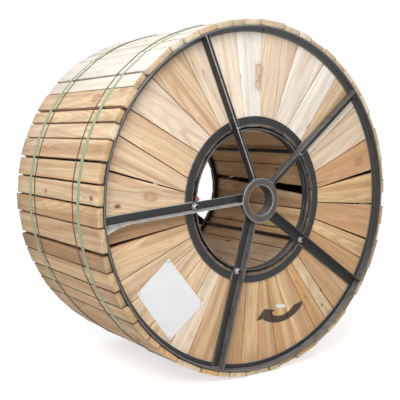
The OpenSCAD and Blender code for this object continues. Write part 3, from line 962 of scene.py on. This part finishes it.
class Growth:
    """A Geometry Nodes tree with named inputs. It ends in real geometry with the finish on it."""

    def __init__(self, name, **inputs):
        self.tree = bpy.data.node_groups.new(name, "GeometryNodeTree")
        face = self.tree.interface
        face.new_socket("Geometry", in_out="INPUT", socket_type="NodeSocketGeometry")
        self.names = {label: face.new_socket(label, in_out="INPUT", socket_type="NodeSocket" + kind).identifier
                      for label, kind in inputs.items()}
        face.new_socket("Geometry", in_out="OUTPUT", socket_type="NodeSocketGeometry")
        self.start = self.add("NodeGroupInput")

    def add(self, kind, settings=(), **inputs):
        """Adds a node, sets or links its inputs and returns its outputs."""
        node = self.tree.nodes.new(kind)
        for key, value in dict(settings).items():
            setattr(node, key, value)
        for key, value in inputs.items():
            socket = node.inputs[key.replace("_", " ")]
            if isinstance(value, bpy.types.NodeSocket):
                self.tree.links.new(value, socket)
            else:
                socket.default_value = value
        return node.outputs

    def end(self, geometry):
        real = self.add("GeometryNodeRealizeInstances", Geometry=geometry)
        done = self.add("GeometryNodeSetMaterial", Geometry=real["Geometry"], Material=self.start["Finish"])
        self.add("NodeGroupOutput", Geometry=done["Geometry"])

    def piece(self, name, mesh, slot, replaced=(), **inputs):
        """Runs the tree over a mesh and keeps the result as a plain piece."""
        seed = placed(name + "_paths", mesh)
        modifier = seed.modifiers.new("grow", "NODES")
        modifier.node_group = self.tree
        for label, value in inputs.items():
            modifier[self.names[label]] = value
        bpy.context.view_layer.update()
        made = bpy.data.meshes.new_from_object(seed.evaluated_get(bpy.context.evaluated_depsgraph_get()))
        bpy.data.objects.remove(seed)
        if not made.polygons:
            raise RuntimeError(f"{name} came out empty")
        made.name = name
        piece_of(name, made, [], replaced, 40)


def cap_nut(across, foot, dome):
    """A domed cap on a thin round foot, its foot at the origin and its cap along +Z."""
    sides, half = 24, across / 2
    outline = [(0.96, 0.0), (1.0, 0.15 * foot), (1.0, 0.85 * foot), (0.95, foot)]
    outline += [(0.95 * math.cos(t), foot + dome * math.sin(t)) for t in (0.18, 0.42, 0.68, 0.95, 1.22, 1.45)]
    vertices = [(half * r * math.cos(a), half * r * math.sin(a), z) for r, z in outline for a in full_turn(sides)]
    vertices.append((0, 0, foot + dome))
    top = (len(outline) - 1) * sides
    faces = [reversed(range(sides))] + [face for k in range(0, top, sides) for face in between(k, k + sides, sides)]
    faces += [(top + i, top + (i + 1) % sides, len(vertices) - 1) for i in range(sides)]
    return bpy.data.objects.new("cap_nut_shape", shell("cap_nut_shape", vertices, faces))


class DRUM_OT_tie_rods(bpy.types.Operator):
    """Finish the tie rods and set their cap nuts"""
    bl_idname = "drum.tie_rods"
    bl_label = "Tie rods and nuts"

    def execute(self, context):
        look = context.scene.drum_steel
        zinc = worn_steel("zinc_cap_nut", look, look.zinc, wear=0.0, rough=(0.28, 0.42), dust_and_top_light_share=0.1)
        rod = worn_steel("dark_rod_steel", look, look.rod, wear=0.0, rough=(0.5, 0.7), dust_and_top_light_share=0.10)
        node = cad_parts["tie_rods"]
        node.data.materials.clear()
        node.data.materials.append(rod)
        shape = cap_nut(*NUT)
        grow = Growth("Nuts on rod ends", Nut="Object", Finish="Material")
        outward = grow.add("GeometryNodeInputNamedAttribute", {"data_type": "FLOAT_VECTOR"}, Name="outward")
        align = grow.add("FunctionNodeAlignRotationToVector", {"axis": "Z"}, Vector=outward["Attribute"])
        nut = grow.add("GeometryNodeObjectInfo", Object=grow.start["Nut"])
        set_out = grow.add("GeometryNodeInstanceOnPoints", Points=grow.start["Geometry"], Instance=nut["Geometry"],
                           Rotation=align["Rotation"])
        grow.end(set_out["Instances"])
        for flange, sign in FLANGES:
            low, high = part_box(f"{flange}_nuts")
            foot = Vector((0, high.y if sign < 0 else low.y, 0))
            points = []
            for turn, heel in SPOKES:
                out, side = axes_at(turn)
                across = heel - SPOKE_LEG / 2
                points.append(out * math.sqrt(ROD_CIRCLE ** 2 - across ** 2) + side * across + foot)
            mesh = shell("rod_ends", points)
            keep(mesh, "outward", [(0, sign, 0)] * len(points))
            grow.piece(f"{flange}_cap_nuts", mesh, "bright_steel", [f"{flange}_nuts"], Nut=shape, Finish=zinc)
        bpy.data.objects.remove(shape)
        return {"FINISHED"}


class DRUM_OT_welds(bpy.types.Operator):
    """Weld the spokes to the hubs, rings and rims"""
    bl_idname = "drum.welds"
    bl_label = "Welds"

    def execute(self, context):
        look = context.scene.drum_steel
        bead = worn_steel("weld_bead_steel", look, look.weld, wear=0.0, rough=(0.35, 0.55), dust_and_top_light_share=0.4)
        grow = Growth("Weld beads along paths", Spacing="Float", Finish="Material", Seed="Int")
        curve = grow.add("GeometryNodeMeshToCurve", Mesh=grow.start["Geometry"])
        points = grow.add("GeometryNodeCurveToPoints", {"mode": "LENGTH"}, Curve=curve["Curve"],
                          Length=grow.start["Spacing"])
        ball = grow.add("GeometryNodeMeshUVSphere", Segments=8, Rings=5, Radius=WELD_BALL)
        scale = grow.add("FunctionNodeRandomValue", {"data_type": "FLOAT_VECTOR"}, Min=(0.75, 0.75, 0.65),
                         Max=(1.15, 1.15, 0.95), Seed=grow.start["Seed"])
        beads = grow.add("GeometryNodeInstanceOnPoints", Points=points["Points"], Rotation=points["Rotation"],
                         Instance=ball["Mesh"], Scale=scale["Value"])
        grow.end(beads["Instances"])
        for flange, sign in FLANGES:
            vertices, edges = [], []
            for line in self.lines(flange, sign):
                first = len(vertices)
                vertices += line
                edges += [(first + i, first + i + 1) for i in range(len(line) - 1)]
            grow.piece(f"{flange}_weld_beads", shell("weld_paths", vertices, edges=edges), "steel_paint",
                       Spacing=look.bead, Finish=bead, Seed=WELD_SEED)
        return {"FINISHED"}

    @staticmethod
    def lines(flange, sign):
        """The lines along which the spokes of one flange are welded."""
        (ring_in, ring_out), (ring_top, _) = levels(f"{flange}_inner_ring", sign)
        (_, _, tube_r, *_, plate_r), _ = levels(f"{flange}_hub")
        rim_r = levels(f"{flange}_rim")[0][1]
        leg, wall = SPOKE_LEG, STEEL_WALL
        found = []
        for turn, heel in SPOKES:
            out, side = axes_at(turn)

            def spot(a, w, height, out=out, side=side):
                return out * a + side * w + Vector((0, ring_top + sign * height, 0))

            def hub_line(r, w0, w1, h0, h1, n=6):
                places = [(w0 + (w1 - w0) * i / n, h0 + (h1 - h0) * i / n) for i in range(n + 1)]
                return [spot(math.sqrt(r ** 2 - w ** 2), w, h) for w, h in places]

            found.append(hub_line(tube_r, heel - leg, heel - wall, wall, wall))
            for w in (heel, heel - wall):
                found.append(hub_line(plate_r, w, w, leg * 0.64, leg * 0.94))
            for w in (heel - leg, heel):
                found.append([spot(ring_in + RING_WELD_INSET, w, 0.0), spot(ring_out - RING_WELD_INSET, w, 0.0)])
            tip = spoke_reach(heel, rim_r) - TIP_WELD_INSET
            found.append([spot(tip, heel - leg + 0.002, wall), spot(tip, heel - wall, wall)])
            found.append([spot(tip, heel, TIP_WELD_INSET), spot(tip, heel, TIP_WELD_HEIGHT)])
        return found


class DRUM_OT_bindings(bpy.types.Operator):
    """Draw the straps and wires tight round the lagging"""
    bl_idname = "drum.bindings"
    bl_label = "Straps and wires"

    def execute(self, context):
        look = context.scene.drum_bindings
        plastic, steel = self.strap_plastic(look), self.wire_steel(look)
        grow = Growth("Wire along a path", Radius="Float", Finish="Material")
        curve = grow.add("GeometryNodeMeshToCurve", Mesh=grow.start["Geometry"])
        corner = grow.add("GeometryNodeFilletCurve", {"mode": "POLY"}, Curve=curve["Curve"], Radius=WIRE_CORNER,
                          Count=3, Limit_Radius=True)
        section = grow.add("GeometryNodeCurvePrimitiveCircle", Resolution=10, Radius=grow.start["Radius"])
        wire = grow.add("GeometryNodeCurveToMesh", Curve=corner["Curve"], Profile_Curve=section["Curve"])
        grow.end(wire["Mesh"])
        for flange, _ in FLANGES:
            line = [(own.min(0) + own.max(0)) / 2 for _, own in self.stations(f"wire_{flange}", 1, 0.05)]
            edges = [(i, (i + 1) % len(line)) for i in range(len(line))]
            grow.piece(f"{flange}_binding_wire", shell("wire_path", line, edges=edges), "wire_steel",
                       [f"wire_{flange}"], Radius=look.wire_d / 2, Finish=steel)
            self.strap(f"{flange}_strap", f"strap_{flange}", plastic)
        return {"FINISHED"}

    @staticmethod
    def stations(node, digits, reach):
        """The corners of a tight band, gathered by their angle round the axis in degrees."""
        points = solids_of(node)[0][0]
        turns = np.round(np.degrees(np.arctan2(points[:, 2], points[:, 0])) % 360, digits)
        return [(turn, points[np.abs(turns - turn) <= reach]) for turn in sorted(set(np.round(turns, 1).tolist()))]

    def strap(self, name, node, plastic):
        """A flat strap over the corners of the battens, with its length kept for the embossing."""
        vertices, faces, lengths, run, previous = [], [], [], 0.0, None
        stations = self.stations(node, 2, 0.06)
        places = np.concatenate([own[:, 1] for _, own in stations])
        low, high = places.min(), places.max()
        for s, (turn, own) in enumerate(stations):
            radii = np.hypot(own[:, 0], own[:, 2])
            inner, outer = radii.min(), radii.max()
            out = axes_at(turn)[0]
            run += (out * outer - previous).length if previous else 0.0
            previous = out * outer
            for r, y in ((inner, low), (outer, low), (outer, high), (inner, high)):
                vertices.append(out * r + Vector((0, y, 0)))
                lengths.append((run, y - (low + high) / 2, 0.0))
            faces += between(s * 4, (s + 1) % len(stations) * 4, 4)
        mesh = shell(name, vertices, faces)
        keep(mesh, "strap_place", lengths)
        piece_of(name, face_out(mesh), [plastic], [node], 30)

    @staticmethod
    def strap_plastic(look):
        sh = Shader("green_strap_plastic", look.strap)
        place = sh.attribute("strap_place")
        along, across, _ = sh.split(place)
        up = sh.split(sh.place())[2]
        cloud = sh.noise(place, 14.0, 3.0)
        sh.lay(sh.fade(cloud, 0.3, 0.7, 0.0, 0.3), STRAP_PALE)
        # Painted light on the upper part of the strap and painted shade on the lower part
        sh.lay(sh.fade(up, 0.25, 0.62, 0.0, 0.55), STRAP_TOP_LIGHT)
        sh.lay(sh.fade(up, -0.45, 0.20, 0.75, 0.0), STRAP_SHADE)
        sh.lay(sh.fade(sh.noise(place, 90.0, 3.0), 0.58, 0.75, 0.0, 0.30), STRAP_SCUFF)
        emboss = sh.math("SINE", (along + across) * EMBOSS) * sh.math("SINE", (along - across) * EMBOSS)
        sh.bump(emboss, 0.35, 0.0004)
        return sh.finish(sh.fade(cloud, 0.3, 0.7, 0.34, 0.5), specular=0.5)

    @staticmethod
    def wire_steel(look):
        sh = Shader("dark_binding_wire", look.wire)
        scale = sh.noise(sh.place(), 60.0, 4.0, 0.7)
        sh.lay(sh.fade(scale, 0.4, 0.7, 0.0, 0.55), WIRE_RUST)
        sh.bump(scale, 0.2, 0.0003)
        return sh.finish(sh.fade(scale, 0.3, 0.7, 0.4, 0.65), 0.4)


class DRUM_OT_marks(bpy.types.Operator):
    """Lay the blank sheet, the small sticker and the paint dab"""
    bl_idname = "drum.marks"
    bl_label = "Sheets and dab"

    def execute(self, context):
        look = context.scene.drum_marks
        paper = self.paper(look)
        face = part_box("front_boards_3")[0].y
        self.leaf("blank_sheet", SHEET, face, *SHEET_STEPS, SHEET_LIFT, paper)
        self.staples("sheet_staples", SHEET, face, look)
        self.leaf("blank_sticker", STICKER, face, *STICKER_STEPS, STICKER_LIFT, paper)
        sh = Shader("red_paint_dab", look.dab)
        cloud = sh.noise(sh.place(), 120.0, 3.0)
        sh.lay(sh.fade(cloud, 0.3, 0.7, 0.0, 0.5), DAB_DARK)
        sh.bump(cloud, 0.3, 0.0006)
        self.dab("red_dab", sh.finish(0.45))
        return {"FINISHED"}

    def leaf(self, name, corners, face, across, along, lift, paper):
        """A thin sheet that lies on the boards and lifts a little along its edges."""
        a, b, c, d = (Vector(corner) for corner in corners)
        front, back = [], []
        for i in range(along + 1):
            for j in range(across + 1):
                u, v = j / across, i / along
                p = (a * (1 - u) + b * u) * (1 - v) + (d * (1 - u) + c * u) * v
                off_u, off_v = abs(2 * u - 1), abs(2 * v - 1)
                wave = ripple(p.x * 16, p.y * 16, 3.0)
                fold = 0.5 + 0.5 * math.sin(38.0 * v + 9.0 * u + 3.0 * wave)
                curl = wave * (0.30 + 0.35 * max(off_u, off_v) ** 6 + 0.9 * (off_u * off_v) ** 8)
                rise = 0.0002 + lift * (curl + 0.55 * fold * max(0.0, u - 0.55))
                front.append((p.x, face - rise - PAPER_THICK, p.y))
                back.append((p.x, face - rise, p.y))
        count, row = len(front), across + 1
        faces = []
        for i in range(along):
            for j in range(across):
                q = (i * row + j, i * row + j + 1, (i + 1) * row + j + 1, (i + 1) * row + j)
                faces += [q, tuple(count + k for k in reversed(q))]
        edge = list(range(row)) + [i * row + across for i in range(1, along + 1)]
        edge += [along * row + j for j in range(across - 1, -1, -1)] + [i * row for i in range(along - 1, 0, -1)]
        faces += [(n, k, count + k, count + n) for k, n in zip(edge, edge[1:] + edge[:1])]
        piece_of(name, face_out(shell(name, front + back, faces)), [paper], smooth=50)

    def staples(self, name, corners, face, look):
        """A staple across each corner of the sheet."""
        wire = Shader("staple_wire", look.staple).finish(0.4, 0.8)
        middle = sum((Vector(corner) for corner in corners), Vector((0, 0))) / len(corners)
        half, thick, lift, inset = STAPLE
        vertices, faces = [], []
        for corner in corners:
            inward = (middle - Vector(corner)).normalized()
            spot, across = Vector(corner) + inward * inset, Vector((-inward.y, inward.x))
            first = len(vertices)
            for y in (face, face - lift - thick):
                for a, b in ((-half, -thick), (half, -thick), (half, thick), (-half, thick)):
                    p = spot + across * a + inward * b
                    vertices.append((p.x, y, p.y))
            faces += [range(first, first + 4), range(first + 4, first + 8), *between(first, first + 4, 4)]
        piece_of(name, face_out(shell(name, vertices, faces)), [wire])

    def dab(self, name, paint):
        """A lump of paint that clings to the edge of the sleeve, above the left spoke."""
        radii, places = levels("front_sleeve")
        out, side = axes_at(DAB_TURN)
        wide, high, deep = DAB
        centre = out * (radii[0] - DAB_INSET) + Vector((0, min(places) + DAB_INSET, 0))
        rings, sides = 9, 20
        vertices, faces = [centre + Vector((0, -deep, 0))], []
        for k in range(1, rings):
            t = math.pi * k / rings
            for a in full_turn(sides):
                spread = math.sin(t) * (1 + 0.22 * noise.noise((math.cos(a) * 1.4, math.sin(a) * 1.4, 8.0 + t)))
                vertices.append(centre + out * (wide * spread * math.cos(a)) + side * (high * spread * math.sin(a))
                                + Vector((0, -deep * math.cos(t), 0)))
        vertices.append(centre + Vector((0, deep, 0)))
        last = len(vertices) - 1
        for i in range(sides):
            j = (i + 1) % sides
            faces += [(0, 1 + i, 1 + j), (last, last - sides + j, last - sides + i)]
        for row in range(1, last - sides, sides):
            faces += between(row, row + sides, sides)
        piece_of(name, face_out(shell(name, vertices, faces)), [paint], smooth=60)

    @staticmethod
    def paper(look):
        sh = Shader("blank_paper", look.paper)
        fibre, cloud = sh.noise(sh.place(), 700.0, 3.0, 0.6), sh.noise(sh.place(), 22.0, 3.0)
        sh.lay(sh.fade(cloud, 0.4, 0.75, 0.0, 0.35), PAPER_GREY)
        sh.bump(fibre + cloud * 2.0, 0.12, 0.0005)
        return sh.finish(sh.fade(fibre, 0.3, 0.7, 0.5, 0.62), specular=0.35)


class DRUM_OT_stage(bpy.types.Operator):
    """Set the floor, the light and the camera"""
    bl_idname = "drum.stage"
    bl_label = "Stage"

    def execute(self, context):
        scene, look = context.scene, context.scene.drum_stage
        scene.view_settings.view_transform = "Standard"
        self.floor(look)
        self.light(scene)
        self.camera(scene, look)
        return {"FINISHED"}

    @staticmethod
    def plain_ray(tree):
        """1 for rays that show the background: camera, glossy and see-through ones."""
        ray = tree.nodes.new("ShaderNodeLightPath").outputs
        found = ray["Is Camera Ray"]
        for kind in ("Is Glossy Ray", "Is Transmission Ray"):
            most = tree.nodes.new("ShaderNodeMath")
            most.operation = "MAXIMUM"
            tree.links.new(found, most.inputs[0])
            tree.links.new(ray[kind], most.inputs[1])
            found = most.outputs[0]
        return found

    def floor(self, look):
        corners = [(FLOOR_REACH * math.cos(a), FLOOR_REACH * math.sin(a), CAD_BOX[0][2]) for a in full_turn(64)]
        mesh = shell("studio_floor", corners, [range(len(corners))])
        material = bpy.data.materials.new("studio_floor")
        material.use_nodes = True
        tree = material.node_tree
        skin = tree.nodes["Principled BSDF"].inputs
        skin["Base Color"].default_value = (*look.floor, 1.0)
        skin["Roughness"].default_value = 0.9
        skin["Specular IOR Level"].default_value = 0.1
        skin["Emission Color"].default_value = (1, 1, 1, 1)
        lift = tree.nodes.new("ShaderNodeMath")
        lift.operation = "MULTIPLY"
        lift.inputs[1].default_value = FLOOR_GLOW
        tree.links.new(self.plain_ray(tree), lift.inputs[0])
        tree.links.new(lift.outputs[0], skin["Emission Strength"])
        mesh.materials.append(material)
        floor = placed("studio_floor", mesh)

    def light(self, scene):
        world = scene.world or bpy.data.worlds.new("studio")
        scene.world = world
        world.use_nodes = True
        tree = world.node_tree
        sky = tree.nodes["Background"]
        sky.inputs["Color"].default_value = (1, 1, 1, 1)
        strength = tree.nodes.new("ShaderNodeMix")
        strength.inputs["A"].default_value = SKY_LIGHT
        strength.inputs["B"].default_value = 1.0
        tree.links.new(self.plain_ray(tree), strength.inputs["Factor"])
        tree.links.new(strength.outputs["Result"], sky.inputs["Strength"])
        for name, place, size, power in LAMPS:
            lamp = bpy.data.lights.new(name, "AREA")
            lamp.size, lamp.energy = size, power
            holder = placed(name, lamp)
            holder.location = place
            holder.rotation_euler = (-Vector(place)).to_track_quat("-Z", "Y").to_euler()

    @staticmethod
    def camera(scene, look):
        lens = bpy.data.cameras.new("photo_camera")
        lens.lens, lens.sensor_width, lens.sensor_fit = look.lens, 36.0, "AUTO"
        lens.shift_x, lens.shift_y = CAMERA_SHIFT
        lens.clip_start, lens.clip_end = 0.05, 200.0
        level = math.cos(look.elevation)
        back = Vector((-math.sin(look.azimuth) * level, -math.cos(look.azimuth) * level, math.sin(look.elevation)))
        holder = placed("photo_camera", lens)
        holder.location = back * look.distance
        holder.rotation_euler = back.to_track_quat("Z", "Y").to_euler()
        scene.camera = holder


OPERATORS = (DRUM_OT_stage, DRUM_OT_flange_boards, DRUM_OT_barrel, DRUM_OT_lagging, DRUM_OT_steel_frame,
             DRUM_OT_tie_rods, DRUM_OT_welds, DRUM_OT_bindings, DRUM_OT_marks)
GROUPS = (("drum_timber", DrumTimber), ("drum_steel", DrumSteel), ("drum_bindings", DrumBindings),
          ("drum_marks", DrumMarks), ("drum_stage", DrumStage))


class DRUM_PT_panel(bpy.types.Panel):
    """The drum's pieces, in the order they are made"""
    bl_idname = "DRUM_PT_panel"
    bl_label = "Cable drum"
    bl_space_type = "VIEW_3D"
    bl_region_type = "UI"
    bl_category = "Cable drum"

    def draw(self, context):
        for name, group in GROUPS:
            box = self.layout.box()
            box.label(text=group.__doc__.rstrip("."))
            for key in group.__annotations__:
                box.prop(getattr(context.scene, name), key)
        for operator in OPERATORS:
            self.layout.operator(operator.bl_idname)


def register():
    for name, group in GROUPS:
        bpy.utils.register_class(group)
        setattr(bpy.types.Scene, name, PointerProperty(type=group))
    for operator in OPERATORS:
        bpy.utils.register_class(operator)
    bpy.utils.register_class(DRUM_PT_panel)


def unregister():
    bpy.utils.unregister_class(DRUM_PT_panel)
    for operator in reversed(OPERATORS):
        bpy.utils.unregister_class(operator)
    for name, group in reversed(GROUPS):
        delattr(bpy.types.Scene, name)
        bpy.utils.unregister_class(group)


def main():
    register()
    for operator in OPERATORS:
        family, name = operator.bl_idname.split(".")
        getattr(getattr(bpy.ops, family), name)()


if __name__ == "__main__":
    main()
